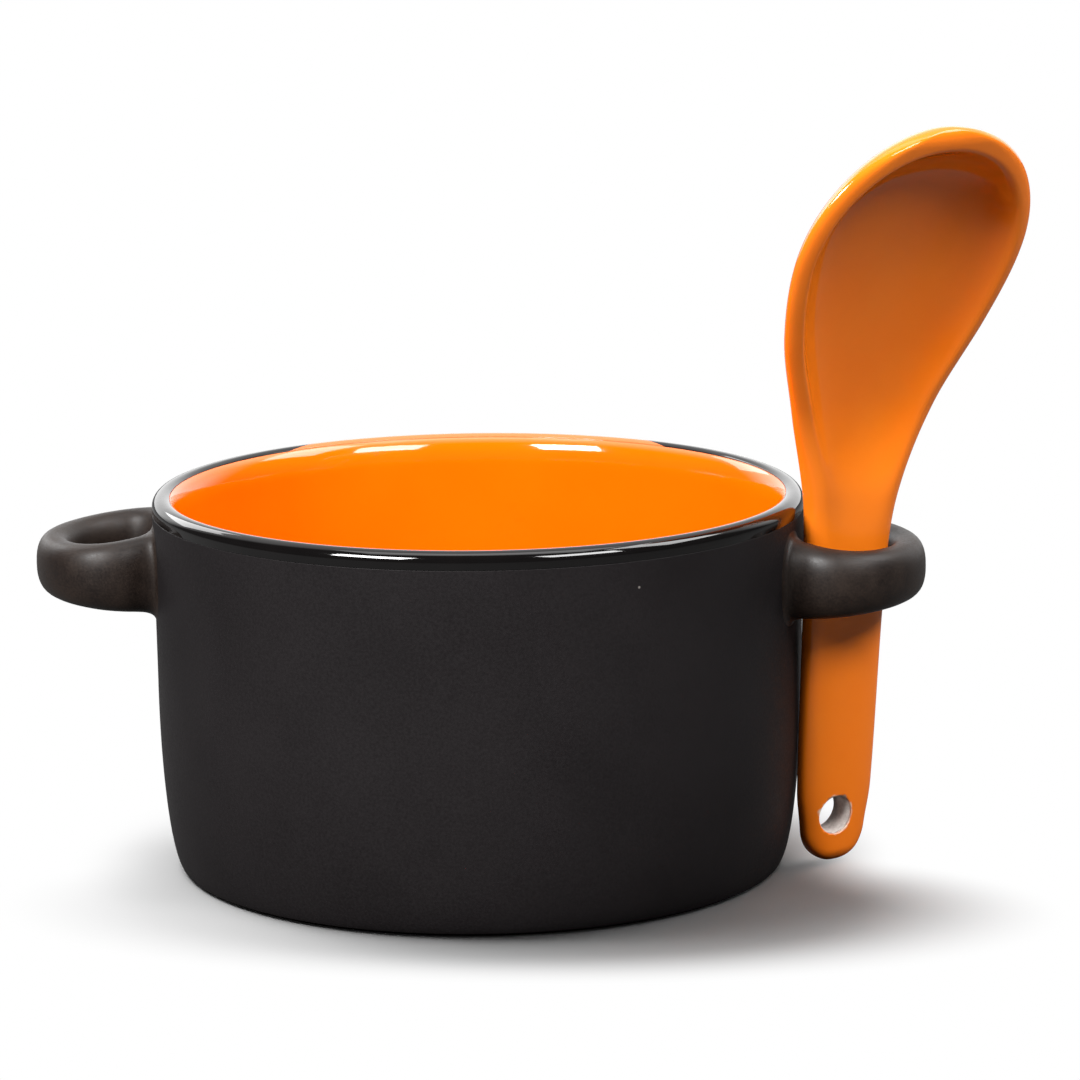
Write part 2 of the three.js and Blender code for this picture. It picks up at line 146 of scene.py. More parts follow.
# Matt black glaze: a dry, fine-grained skin that throws back little, so its IOR is set low. The
# grain is about 0.5 mm, the cloudy firing marks about 25 mm, and a few pale pinholes show the clay.
MATT_GRAIN, MATT_CLOUD = 0.5, 25
MATT_TOOTH = 0.05
MOTTLE_LOW, MOTTLE_HIGH = 0.7, 1.3
PINHOLE_SPACING, PINHOLE_CORE, PINHOLE_EDGE = 9, 0.18, 0.315
PINHOLE_FREE = 0.9
WIPED_BELOW = 0.05
matt_glaze, shader, place = new_material("matt_black_stoneware_glaze")
grain = add_node(matt_glaze, "ShaderNodeTexNoise",
                 {"Vector": place, "Scale": 1 / (MATT_GRAIN * MM), "Detail": 3.0})
cloud = add_node(matt_glaze, "ShaderNodeTexNoise",
                 {"Vector": place, "Scale": 1 / (MATT_CLOUD * MM), "Detail": 2.0})
mottle = add_node(matt_glaze, "ShaderNodeMath",
                  {0: grain.outputs["Fac"], 1: cloud.outputs["Fac"]}, operation="ADD")
tone = add_node(matt_glaze, "ShaderNodeMapRange",
                {"Value": mottle.outputs[0], "From Min": MOTTLE_LOW, "From Max": MOTTLE_HIGH})
black = add_node(matt_glaze, "ShaderNodeMix",
                 {"Factor": tone.outputs["Result"], "A": linear("#161314"), "B": linear("#1e1b1c")},
                 data_type="RGBA")
pits = add_node(matt_glaze, "ShaderNodeTexVoronoi",
                {"Vector": place, "Scale": 1 / (PINHOLE_SPACING * MM)})
pit_near = add_node(matt_glaze, "ShaderNodeMapRange",
                    {"Value": pits.outputs["Distance"], "From Min": PINHOLE_CORE / PINHOLE_SPACING,
                     "From Max": PINHOLE_EDGE / PINHOLE_SPACING, "To Min": 1.0, "To Max": 0.0})
pit_chance = add_node(matt_glaze, "ShaderNodeSeparateColor", {"Color": pits.outputs["Color"]})
pit_rare = add_node(matt_glaze, "ShaderNodeMath",
                    {0: pit_chance.outputs["Red"], 1: PINHOLE_FREE}, operation="GREATER_THAN")
pit = add_node(matt_glaze, "ShaderNodeMath",
               {0: pit_near.outputs["Result"], 1: pit_rare.outputs[0]}, operation="MULTIPLY")
pitted = add_node(matt_glaze, "ShaderNodeMix",
                  {"Factor": pit.outputs[0], "A": black.outputs["Result"], "B": linear("#7d7873")},
                  data_type="RGBA")
height = add_node(matt_glaze, "ShaderNodeSeparateXYZ", {"Vector": place})
wiped = add_node(matt_glaze, "ShaderNodeMath",
                 {0: height.outputs["Z"], 1: WIPED_BELOW * MM}, operation="LESS_THAN")
footed = add_node(matt_glaze, "ShaderNodeMix",
                  {"Factor": wiped.outputs[0], "A": pitted.outputs["Result"], "B": linear("#b9ab9c")},
                  data_type="RGBA")
dryness = add_node(matt_glaze, "ShaderNodeMapRange",
                   {"Value": grain.outputs["Fac"], "From Min": 0.3, "From Max": 0.7,
                    "To Min": 0.5, "To Max": 0.64})
tooth = add_node(matt_glaze, "ShaderNodeBump",
                 {"Height": grain.outputs["Fac"], "Strength": 0.35, "Distance": MATT_TOOTH * MM})
set_inputs(matt_glaze, shader, {
    "Base Color": footed.outputs["Result"], "Roughness": dryness.outputs["Result"],
    "Normal": tooth.outputs["Normal"], "IOR": 1.25})

foot_inner = FOOT_RADIUS - FOOT_RING
recess_edge = foot_inner - FOOT_RECESS
heel_rise = HEEL_HEIGHT - HEEL_START
heel_heights = [HEEL_START + heel_rise * (1 - math.cos(i / HEEL_STEPS * QUARTER))
                for i in range(HEEL_STEPS + 1)]
pot_profile = [(0, FOOT_RECESS), (recess_edge - RECESS_RUN, FOOT_RECESS)]
pot_profile += arc((recess_edge, FOOT_RECESS - RECESS_ROLL), (RECESS_ROLL,) * 2, QUARTER, 0, EDGE_STEPS)
pot_profile += arc((foot_inner + RING_INNER_ROLL[1], RING_INNER_ROLL[1]), RING_INNER_ROLL,
                   2 * QUARTER, 3 * QUARTER, EDGE_STEPS)
pot_profile += arc((FOOT_RADIUS - RING_OUTER_ROLL, RING_OUTER_ROLL), (RING_OUTER_ROLL,) * 2,
                   3 * QUARTER, 3.8 * QUARTER, EDGE_STEPS)
for z in (*heel_heights, *WALL_HEIGHTS, BAND_BOTTOM - BAND_SHOULDER, BAND_BOTTOM):
    pot_profile.append((wall_radius(z), z))
pot_profile.append((wall_radius(BAND_BOTTOM) - UNDER_COAT, BAND_BOTTOM))
pot_profile += arc(LIP_CENTRE, (LIP_RADIUS - UNDER_COAT,) * 2, 0, math.pi, UNDER_LIP_STEPS)
pot_profile += arc(CORNER_CENTRE, (INNER_CORNER + UNDER_COAT,) * 2, 0, -QUARTER, UNDER_CORNER_STEPS)
pot_profile.append((0, FLOOR_TOP - UNDER_COAT))
add_piece(turned(pot_profile, False), "pot_body", matt_glaze, "mug", ["pot"])


# Orange liner glaze
# The inside is poured full of orange glaze and emptied, which leaves a glossy coat over wall
# and floor. It gathers in a soft roll below the lip and thins over it, where the pale ground
# shows through.

COAT = 0.4
LINER_EDGE = 2.3
ROLL_WIDTH, ROLL_HEIGHT = 3.2, 6
ROLL_STEPS, CORNER_STEPS = 20, 24
LINER_CLOUD, LINER_RIPPLE, RIPPLE_DEPTH = 18, 7, 0.4
THIN_FROM, THIN_TO = 72.2, 73.3

orange_liner, shader, place = new_material("orange_liner_glaze")
cloud = add_node(orange_liner, "ShaderNodeTexNoise",
                 {"Vector": place, "Scale": 1 / (LINER_CLOUD * MM), "Detail": 3.0})
pooled = add_node(orange_liner, "ShaderNodeMix",
                  {"Factor": cloud.outputs["Fac"], "A": linear("#ff6600"), "B": linear("#ff6f03")},
                  data_type="RGBA")
height = add_node(orange_liner, "ShaderNodeSeparateXYZ", {"Vector": place})
thin = add_node(orange_liner, "ShaderNodeMapRange",
                {"Value": height.outputs["Z"], "From Min": THIN_FROM * MM, "From Max": THIN_TO * MM},
                interpolation_type="SMOOTHSTEP")
edged = add_node(orange_liner, "ShaderNodeMix",
                 {"Factor": thin.outputs["Result"], "A": pooled.outputs["Result"],
                  "B": linear("#e87f4b")}, data_type="RGBA")
ripple = add_node(orange_liner, "ShaderNodeTexNoise",
                  {"Vector": place, "Scale": 1 / (LINER_RIPPLE * MM), "Detail": 1.0})
flow = add_node(orange_liner, "ShaderNodeBump",
                {"Height": ripple.outputs["Fac"], "Strength": 0.07, "Distance": RIPPLE_DEPTH * MM})
set_inputs(orange_liner, shader, {
    "Base Color": edged.outputs["Result"], "Roughness": 0.07, "IOR": 1.55,
    "Normal": flow.outputs["Normal"]})

roll_centre = (LIP_CENTRE[0], POT_HEIGHT - ROLL_HEIGHT)
roll_start = math.acos(LIP_RADIUS * math.cos(LINER_EDGE) / ROLL_WIDTH)
outer = arc(roll_centre, (ROLL_WIDTH, ROLL_HEIGHT), roll_start, math.pi, ROLL_STEPS)
outer += arc(CORNER_CENTRE, (INNER_CORNER,) * 2, 0, -QUARTER, CORNER_STEPS)
inner = arc(roll_centre, (ROLL_WIDTH - COAT, ROLL_HEIGHT - COAT), roll_start, math.pi, ROLL_STEPS)
inner += arc(CORNER_CENTRE, (INNER_CORNER + COAT,) * 2, 0, -QUARTER, CORNER_STEPS)
liner_profile = [(0, FLOOR_TOP)] + outer[::-1] + inner + [(0, FLOOR_TOP - COAT)]
add_piece(turned(liner_profile, False), "liner_coat", orange_liner, "mug",
          ["liner_glaze"])


# Black rim glaze
# The lip is dipped once more in a gloss black glaze. It wraps the roll of the lip and ends in a
# level band a few millimetres down the outside.

BAND_ROLL, BAND_GAP = 0.12, 0.02
LIP_STEPS = 28
RIM_RIPPLE, RIM_RIPPLE_DEPTH = 6, 0.3
OVERRUN_LEFT, OVERRUN_RIGHT = (-0.85, -0.55), (0.38, 0.62)
OVERRUN_START, OVERRUN_REACH = LIP_CENTRE[0] - 1.6, 2.9

gloss_black, shader, place = new_material("gloss_black_rim_glaze")
ripple = add_node(gloss_black, "ShaderNodeTexNoise",
                  {"Vector": place, "Scale": 1 / (RIM_RIPPLE * MM), "Detail": 1.0})
flow = add_node(gloss_black, "ShaderNodeBump",
                {"Height": ripple.outputs["Fac"], "Strength": 0.1, "Distance": RIM_RIPPLE_DEPTH * MM})
deep = add_node(gloss_black, "ShaderNodeMix",
                {"Factor": ripple.outputs["Fac"], "A": linear("#080707"), "B": linear("#0e0c0c")},
                data_type="RGBA")
# At the back the liner's pour ran over the crest, and the orange covers the black there. Its ends
# are headings round the rim in radians, and its outer edge is a radius.
flat = add_node(gloss_black, "ShaderNodeVectorMath", {0: place, 1: (1, 1, 0)}, operation="MULTIPLY")
radius = add_node(gloss_black, "ShaderNodeVectorMath", {0: flat.outputs["Vector"]}, operation="LENGTH")
point = add_node(gloss_black, "ShaderNodeSeparateXYZ", {"Vector": place})
heading = add_node(gloss_black, "ShaderNodeMath",
                   {0: point.outputs["X"], 1: point.outputs["Y"]}, operation="ARCTAN2")
run_left = add_node(gloss_black, "ShaderNodeMapRange",
                    {"Value": heading.outputs[0], "From Min": OVERRUN_LEFT[0],
                     "From Max": OVERRUN_LEFT[1]}, interpolation_type="SMOOTHSTEP")
run_right = add_node(gloss_black, "ShaderNodeMapRange",
                     {"Value": heading.outputs[0], "From Min": OVERRUN_RIGHT[0],
                      "From Max": OVERRUN_RIGHT[1], "To Min": 1.0, "To Max": 0.0},
                     interpolation_type="SMOOTHSTEP")
run = add_node(gloss_black, "ShaderNodeMath",
               {0: run_left.outputs["Result"], 1: run_right.outputs["Result"]}, operation="MULTIPLY")
run_edge = add_node(gloss_black, "ShaderNodeMath",
                    {0: run.outputs[0], 1: OVERRUN_REACH * MM, 2: OVERRUN_START * MM},
                    operation="MULTIPLY_ADD")
overrun = add_node(gloss_black, "ShaderNodeMath",
                   {0: radius.outputs["Value"], 1: run_edge.outputs[0]}, operation="LESS_THAN")
crested = add_node(gloss_black, "ShaderNodeMix",
                   {"Factor": overrun.outputs[0], "A": deep.outputs["Result"], "B": linear("#da743e")},
                   data_type="RGBA")
set_inputs(gloss_black, shader, {
    "Base Color": crested.outputs["Result"], "Roughness": 0.06, "IOR": 1.55,
    "Normal": flow.outputs["Normal"]})

band_radius = wall_radius(BAND_BOTTOM)
rim_outer = arc((band_radius - BAND_ROLL, BAND_BOTTOM + BAND_GAP + BAND_ROLL), (BAND_ROLL,) * 2,
                -QUARTER, 0, EDGE_STEPS)
rim_outer += arc(LIP_CENTRE, (LIP_RADIUS,) * 2, 0, LINER_EDGE, LIP_STEPS)
rim_inner = arc(LIP_CENTRE, (LIP_RADIUS - COAT,) * 2, LINER_EDGE, 0, LIP_STEPS)
rim_inner.append((band_radius - COAT, BAND_BOTTOM + BAND_GAP))
add_piece(turned(rim_outer + rim_inner, True), "rim_coat", gloss_black, "mug",
          ["rim_glaze"])


# Loop handles
# Each handle is an oval roll of clay bent into a level ring and stuck to the wall by its two
# ends. It is sponged smooth, so its glaze has a silkier, browner sheen than the wall's.

HANDLE_Z = 59.4
LOOP_CENTRE = 70.7
LOOP_REACH = 13.0
LOOP_HALF_WIDTH = 17.9
LOOP_SQUARENESS, SECTION_SQUARENESS = 1.9, 2.5
END_HEIGHT, END_THICKNESS = 11.2, 7.2
ROOT_HEIGHT, ROOT_THICKNESS, ROOT_TAPER = 14.9, 7.6, 1.5
ROOT_FLARE, FLARE_LENGTH = 2.4, 4
FILLET_FLARE, FILLET_LENGTH = 1.7, 0.32
ROOT_START = 65.0
SLIP_TOP = 0.8
ROOT_GAPS = (2.6, 2.1, 1.7, 1.35, 1.05, SLIP_TOP)
SLIP_GAPS = (SLIP_TOP, 0.6, 0.42, 0.27, 0.15, 0.06, -0.05)
SECTION_POINTS, LOOP_STATIONS, SEATING_STEPS = 40, 72, 12
ROOT_TANGENT_STEP = 0.02
SATIN_GRAIN, SATIN_CLOUD, SATIN_TOOTH = 0.45, 5, 0.04

satin_glaze, shader, place = new_material("satin_black_stoneware_glaze")
grain = add_node(satin_glaze, "ShaderNodeTexNoise",
                 {"Vector": place, "Scale": 1 / (SATIN_GRAIN * MM), "Detail": 3.0})
cloud = add_node(satin_glaze, "ShaderNodeTexNoise",
                 {"Vector": place, "Scale": 1 / (SATIN_CLOUD * MM), "Detail": 4.0})
mottle = add_node(satin_glaze, "ShaderNodeMath",
                  {0: grain.outputs["Fac"], 1: cloud.outputs["Fac"]}, operation="ADD")
tone = add_node(satin_glaze, "ShaderNodeMapRange",
                {"Value": mottle.outputs[0], "From Min": MOTTLE_LOW, "From Max": MOTTLE_HIGH})
black = add_node(satin_glaze, "ShaderNodeMix",
                 {"Factor": tone.outputs["Result"], "A": linear("#130b08"), "B": linear("#251a13")},
                 data_type="RGBA")
polish = add_node(satin_glaze, "ShaderNodeMapRange",
                  {"Value": mottle.outputs[0], "From Min": MOTTLE_LOW, "From Max": MOTTLE_HIGH,
                   "To Min": 0.42, "To Max": 0.58})
tooth = add_node(satin_glaze, "ShaderNodeBump",
                 {"Height": grain.outputs["Fac"], "Strength": 0.25, "Distance": SATIN_TOOTH * MM})
set_inputs(satin_glaze, shader, {
    "Base Color": black.outputs["Result"], "Roughness": polish.outputs["Result"],
    "Normal": tooth.outputs["Normal"], "IOR": 1.42})


def signed_power(value, power):
    return math.copysign(abs(value) ** power, value)


def loop_middle(angle):
    out = LOOP_REACH * signed_power(math.cos(angle), 2 / LOOP_SQUARENESS)
    aside = LOOP_HALF_WIDTH * signed_power(math.sin(angle), 2 / LOOP_SQUARENESS)
    return Vector((LOOP_CENTRE + out, aside, HANDLE_Z))


def loop_section(middle, along, flare):
    """The oval outline of the roll at one place, as points round it."""
    outward = Vector((along.y, -along.x, 0))
    end = LOOP_CENTRE + LOOP_REACH
    to_root = max(0, (end - middle.x) / (end - RIM_RADIUS)) ** ROOT_TAPER
    height = END_HEIGHT + (ROOT_HEIGHT - END_HEIGHT) * to_root + flare
    thickness = END_THICKNESS + (ROOT_THICKNESS - END_THICKNESS) * to_root + flare
    points = []
    for j in range(SECTION_POINTS):
        turn = math.tau * j / SECTION_POINTS
        out = thickness / 2 * signed_power(math.cos(turn), 2 / SECTION_SQUARENESS)
        up = height / 2 * signed_power(math.sin(turn), 2 / SECTION_SQUARENESS)
        points.append(middle + outward * out + Vector((0, 0, up)))
    return points


def root_flare(gap):
    """How much the root grows in all as it nears the wall, with a sponged fillet right at it."""
    flare = ROOT_FLARE * max(0, 1 - gap / FLARE_LENGTH) ** 2
    return flare + FILLET_FLARE * math.exp(-max(0, gap) / FILLET_LENGTH)


def root_ring(middle, inward, gap):
    """The root's outline slid along the arm until every point stands the same gap off the wall."""
    along = inward if middle.y > 0 else -inward
    points = []
    for point in loop_section(middle, along, root_flare(gap)):
        for _ in range(SEATING_STEPS):
            short = math.hypot(point.x, point.y) - wall_radius(point.z) - gap
            facing = (point.x * inward.x + point.y * inward.y) / math.hypot(point.x, point.y)
            point = point - inward * (short / facing)
        points.append(point)
    return points


def skinned(rings, closed_ends):
    """A tube drawn out ring by ring from a first loop of edges."""
    bm = bmesh.new()
    first = bmesh.ops.create_circle(bm, cap_ends=False, segments=len(rings[0]), radius=1)["verts"]
    loop = list(first)
    for vert, point in zip(loop, rings[0]):
        vert.co = point * MM
    edges = [bm.edges.get((a, b)) for a, b in zip(loop, loop[1:] + loop[:1])]
    for ring in rings[1:]:
        made = bmesh.ops.extrude_edge_only(bm, edges=edges)["geom"]
        fresh = {v for v in made if isinstance(v, bmesh.types.BMVert)}
        loop = [next(e.other_vert(v) for e in v.link_edges if e.other_vert(v) in fresh) for v in loop]
        for vert, point in zip(loop, ring):
            vert.co = point * MM
        edges = [bm.edges.get((a, b)) for a, b in zip(loop, loop[1:] + loop[:1])]
    if closed_ends:
        for end in (list(first), loop):
            for face in bmesh.ops.contextual_create(bm, geom=end)["faces"]:
                for edge in face.edges:
                    edge.smooth = False
    bmesh.ops.recalc_face_normals(bm, faces=bm.faces)
    return bm


def to_side(bm, turn):
    bmesh.ops.rotate(bm, verts=bm.verts, cent=(0, 0, 0), matrix=Matrix.Rotation(turn, 3, "Z"))
    return bm


root_share = ((LOOP_CENTRE - ROOT_START) / LOOP_REACH) ** (LOOP_SQUARENESS / 2)
root_angle = QUARTER + math.asin(root_share)
back_middle = loop_middle(root_angle)
back_inward = (back_middle - loop_middle(root_angle - ROOT_TANGENT_STEP)).normalized()
front_inward = Vector((back_inward.x, -back_inward.y, 0))
front_middle = Vector((back_middle.x, -back_middle.y, HANDLE_Z))
middles = [loop_middle((2 * i / LOOP_STATIONS - 1) * root_angle) for i in range(LOOP_STATIONS + 1)]
arm_rings = []
for before, middle, after in zip(middles, middles[1:], middles[2:]):
    flare = root_flare(math.hypot(middle.x, middle.y) - RIM_RADIUS)
    arm_rings.append(loop_section(middle, (after - before).normalized(), flare))
front_rings = [root_ring(front_middle, front_inward, gap) for gap in ROOT_GAPS]
back_rings = [root_ring(back_middle, back_inward, gap) for gap in ROOT_GAPS]
handle_rings = front_rings[::-1] + arm_rings + back_rings
for side, turn in (("right", 0), ("left", math.pi)):
    add_piece(to_side(skinned(handle_rings, True), turn), side + "_loop", satin_glaze, "mug",
              [side + "_handle"])

# The slip that joins each root to the wall: a thin collar of the same clay, sponged to a fillet.
front_collar = [root_ring(front_middle, front_inward, gap) for gap in SLIP_GAPS]
back_collar = [root_ring(back_middle, back_inward, gap) for gap in SLIP_GAPS]
for side, end, turn, rings in (("right", "front", 0, front_collar), ("right", "back", 0, back_collar),
                               ("left", "back", math.pi, front_collar),
                               ("left", "front", math.pi, back_collar)):
    add_piece(to_side(skinned(rings, True), turn), f"{side}_{end}_collar", satin_glaze, "mug",
              [f"{side}_{end}_slip"])


# Spoon
# The spoon is cast in white clay and dipped in orange gloss glaze. It has a flat grip with a
# hanging hole, a narrow neck and a deep bowl with a thick round rim, bent forward on the grip.
# It stands in the right loop, and places along it are measured from its tail.

SPOON_TURN, SPOON_LEAN, SPOON_BEND = 0.7112, 0.0749, 0.3664
SPOON_IN_LOOP = Vector((71.6, -2.4, HANDLE_Z))
TAIL_CLEARANCE = 0.2
LOOP_AT = (HANDLE_Z - TAIL_CLEARANCE) / math.cos(SPOON_LEAN)
SPOON_LENGTH = LOOP_AT + 94.3
BEND_START, BEND_END = LOOP_AT - 4.9, LOOP_AT + 56.6
END_ROUNDING = 3
TAIL_ROUNDING, TAIL_WIDTH, TAIL_TAPER = 6.6, 14.6, 0.94
GRIP_AT, GRIP_WIDTH = 15, 17.1
GRIP_END_AT, GRIP_END_WIDTH = LOOP_AT - 5.4, 18.7
NECK_AT, NECK_WIDTH = LOOP_AT + 14.6, 21.95
WIDEST_AT, BOWL_WIDTH = LOOP_AT + 67.2, 55
DEEPEST_AT, BOWL_DEPTH = LOOP_AT + 58, 11.2
BOWL_STARTS, BELLY_STARTS, RIM_THINNED = NECK_AT - 10, NECK_AT - 5, NECK_AT + 20
GRIP_THICKNESS, NECK_THICKNESS = 5.8, 7.2
BOWL_RIM, BOWL_WALL, RIM_BLEND = 3.5, 3.4, 1.3
GRIP_SQUARENESS, BELLY_SQUARENESS, BELLY_POWER = 2.5, 2, 0.774
TIP_SQUARENESS, TIP_POWER = 2.2, 0.55
PILLOW_SQUARENESS, BEAD_SQUARENESS, BEAD_POWER = 2.8, 14, 0.5
NECK_STEEPNESS, HOLLOW_STEEPNESS = 2.5, 5
HOLLOW_START, HOLLOW_FADE = LOOP_AT + 1.6, 14
HOLLOW_DEEPEST = DEEPEST_AT + 2
HOLLOW_END = SPOON_LENGTH - 4.2
FLOOR_RISE = 2
HOLE_DIAMETER, HOLE_FROM_TAIL, HOLE_OFFSET, HOLE_STEP = 7.3, 10, -1.3, 0.25
DRILL_LENGTH, DRILL_SIDES = 24, 96
SHOULDER, SWELL = WIDEST_AT - NECK_AT, BOWL_WIDTH - NECK_WIDTH
LOW_SHOULDER, LOW_SWELL = 0.345, 0.37
HIGH_SHOULDER, HIGH_SWELL = 0.68, 0.808
WIDTHS = (
    (0, TAIL_WIDTH * TAIL_TAPER),
    (TAIL_ROUNDING, TAIL_WIDTH),
    (GRIP_AT, GRIP_WIDTH),
    (GRIP_END_AT, GRIP_END_WIDTH),
    (NECK_AT, NECK_WIDTH),
    (NECK_AT + SHOULDER * LOW_SHOULDER, NECK_WIDTH + SWELL * LOW_SWELL),
    (NECK_AT + SHOULDER * HIGH_SHOULDER, NECK_WIDTH + SWELL * HIGH_SWELL),
    (WIDEST_AT, BOWL_WIDTH),
)
SPOON_AROUND, SPINE_STEPS = 96, 640
TAIL_STATIONS, BODY_STATIONS, TIP_STATIONS = 16, 120, 40
TIP_RUN, TIP_SHORT = 19, 0.4
GRIP_SPREAD, BOWL_SPREAD = 0.8, 0.6
LEAST_SHARE, EDGE_PINCH = 0.2, 4


def ease(s, start, end):
    t = min(1, max(0, (s - start) / (end - start)))
    return t * t * (3 - 2 * t)


def toward_bowl(s, at_grip, at_bowl):
    """A value that goes over from the grip's to the bowl's along the neck."""
    return at_grip + (at_bowl - at_grip) * ease(s, BOWL_STARTS, WIDEST_AT)


def width_slope(k):
    if k == len(WIDTHS) - 1:
        return 0
    low, high = WIDTHS[max(0, k - 1)], WIDTHS[k + 1]
    return (high[1] - low[1]) / (high[0] - low[0])


def half_width(s):
    """Half the spoon's width along its length, a smooth line through the widths above."""
    if s >= WIDEST_AT:
        t = (s - WIDEST_AT) / (SPOON_LENGTH - WIDEST_AT)
        return BOWL_WIDTH / 2 * math.sqrt(max(0, 1 - t * t))
    i = 0
    while i + 2 < len(WIDTHS) and s > WIDTHS[i + 1][0]:
        i += 1
    low, high = WIDTHS[i], WIDTHS[i + 1]
    run = high[0] - low[0]
    t = (s - low[0]) / run
    width = low[1] * (1 + 2 * t) * (1 - t) ** 2 + high[1] * t * t * (3 - 2 * t)
    width += run * width_slope(i) * t * (1 - t) ** 2
    width -= run * width_slope(i + 1) * t * t * (1 - t)
    return width / 2 * math.sqrt(1 - max(0, 1 - s / TAIL_ROUNDING) ** 2)


def end_rounding(s):
    return math.sqrt(max(0, 1 - max(0, 1 - min(s, SPOON_LENGTH - s) / END_ROUNDING) ** 2))


def front_height(s):
    swell = (NECK_THICKNESS - GRIP_THICKNESS) / 2 * ease(s, GRIP_AT, NECK_AT)
    thinning = (BOWL_RIM - NECK_THICKNESS) / 2 * ease(s, NECK_AT, RIM_THINNED)
    return (GRIP_THICKNESS / 2 + swell + thinning) * end_rounding(s)


def back_depth(s):
    if s > DEEPEST_AT:
        t = min(1, (s - DEEPEST_AT) / (SPOON_LENGTH - DEEPEST_AT))
        return BOWL_DEPTH * (1 - t ** TIP_SQUARENESS) ** TIP_POWER
    swell = (NECK_THICKNESS - GRIP_THICKNESS) / 2 * ease(s, GRIP_AT, NECK_AT)
    belly = (BOWL_DEPTH - NECK_THICKNESS / 2) * ease(s, BELLY_STARTS, DEEPEST_AT)
    return (GRIP_THICKNESS / 2 + swell + belly) * end_rounding(s)


def back_at(s, across):
    """How far the back stands off the widest plane: flat under the grip, a round belly at the bowl."""
    x = min(1, abs(across) / max(half_width(s), 1e-6))
    squareness = toward_bowl(s, GRIP_SQUARENESS, BELLY_SQUARENESS)
    power = toward_bowl(s, 1 / GRIP_SQUARENESS, BELLY_POWER)
    return -back_depth(s) * (1 - x ** squareness) ** power


def hollow_floor(s):
    full = BOWL_DEPTH - BOWL_WALL + front_height(WIDEST_AT)
    rise = max(0, s - HOLLOW_DEEPEST) / (HOLLOW_END - HOLLOW_DEEPEST)
    return full * ease(s, HOLLOW_START, HOLLOW_DEEPEST) - front_height(s) - FLOOR_RISE * rise * rise


def front_at(s, across):
    """How far the front stands off the widest plane: a soft pillow, hollowed out in the bowl."""
    front = front_height(s)
    squareness = toward_bowl(s, PILLOW_SQUARENESS, BEAD_SQUARENESS)
    power = toward_bowl(s, 1 / PILLOW_SQUARENESS, BEAD_POWER)
    x = min(1, abs(across) / max(half_width(s), 1e-6))
    pillow = front * max(0, 1 - x ** squareness) ** power
    if s <= HOLLOW_START:
        return pillow
    edge = half_width(min(s, WIDEST_AT)) - BOWL_RIM
    past = max(0, s - WIDEST_AT) / (HOLLOW_END - WIDEST_AT)
    floor = hollow_floor(s)
    steepness = toward_bowl(s, NECK_STEEPNESS, HOLLOW_STEEPNESS)
    hollow = (front + floor) * math.hypot(across / edge, past) ** steepness - floor
    mix = min(1, max(0, 0.5 + (hollow - pillow) / (2 * RIM_BLEND)))
    fade = ease(s, HOLLOW_START, HOLLOW_START + HOLLOW_FADE)
    return hollow + (pillow - hollow) * mix - RIM_BLEND * mix * (1 - mix) * fade


spoon_up = Vector((math.sin(SPOON_LEAN) * math.sin(SPOON_TURN),
                   -math.sin(SPOON_LEAN) * math.cos(SPOON_TURN), math.cos(SPOON_LEAN)))
spoon_across = Vector((math.cos(SPOON_TURN), math.sin(SPOON_TURN), 0))
spoon_forward = spoon_across.cross(spoon_up)
spoon_tail = SPOON_IN_LOOP - spoon_up * LOOP_AT
spine_step = SPOON_LENGTH / SPINE_STEPS
spine = [(0, 0)]
for i in range(SPINE_STEPS):
    angle = SPOON_BEND * ease((i + 0.5) * spine_step, BEND_START, BEND_END)
    along, out = spine[-1]
    spine.append((along + spine_step * math.cos(angle), out + spine_step * math.sin(angle)))


def spoon_point(s, across, forward):
    """A point of the spoon, from its place along the bent middle line and its two offsets."""
    i = min(SPINE_STEPS - 1, int(s / spine_step))
    t = s / spine_step - i
    along, out = (low + (high - low) * t for low, high in zip(spine[i], spine[i + 1]))
    angle = SPOON_BEND * ease(s, BEND_START, BEND_END)
    return (spoon_tail + spoon_up * (along - forward * math.sin(angle))
            + spoon_forward * (out + forward * math.cos(angle)) + spoon_across * across)


def spoon_ring(s, inset):
    """The spoon's outline at one place, drawn in on all sides by an inset."""
    points = []
    half = half_width(s)
    half = max(LEAST_SHARE * half, half - inset)
    for j in range(SPOON_AROUND):
        turn = math.tau * j / SPOON_AROUND
        across = half * signed_power(math.cos(turn), toward_bowl(s, GRIP_SPREAD, BOWL_SPREAD))
        front, back = front_at(s, across), back_at(s, across)
        middle, thick = (front + back) / 2, (front - back) / 2
        thick = max(LEAST_SHARE * thick, thick - inset)
        if inset > 0:
            thick *= min(1, EDGE_PINCH * abs(math.sin(turn)))
        on_back = math.sin(turn) < -1e-9
        points.append(spoon_point(s, across, middle - thick if on_back else middle + thick))
    return points


tip_start = SPOON_LENGTH - TIP_RUN
body_run = tip_start - TAIL_ROUNDING
tip_turn = QUARTER / (TIP_STATIONS + TIP_SHORT)
stations = [TAIL_ROUNDING * (1 - math.cos(i / TAIL_STATIONS * QUARTER)) for i in range(1, TAIL_STATIONS + 1)]
stations += [TAIL_ROUNDING + body_run * i / BODY_STATIONS for i in range(1, BODY_STATIONS + 1)]
stations += [tip_start + TIP_RUN * math.sin(i * tip_turn) for i in range(1, TIP_STATIONS + 1)]


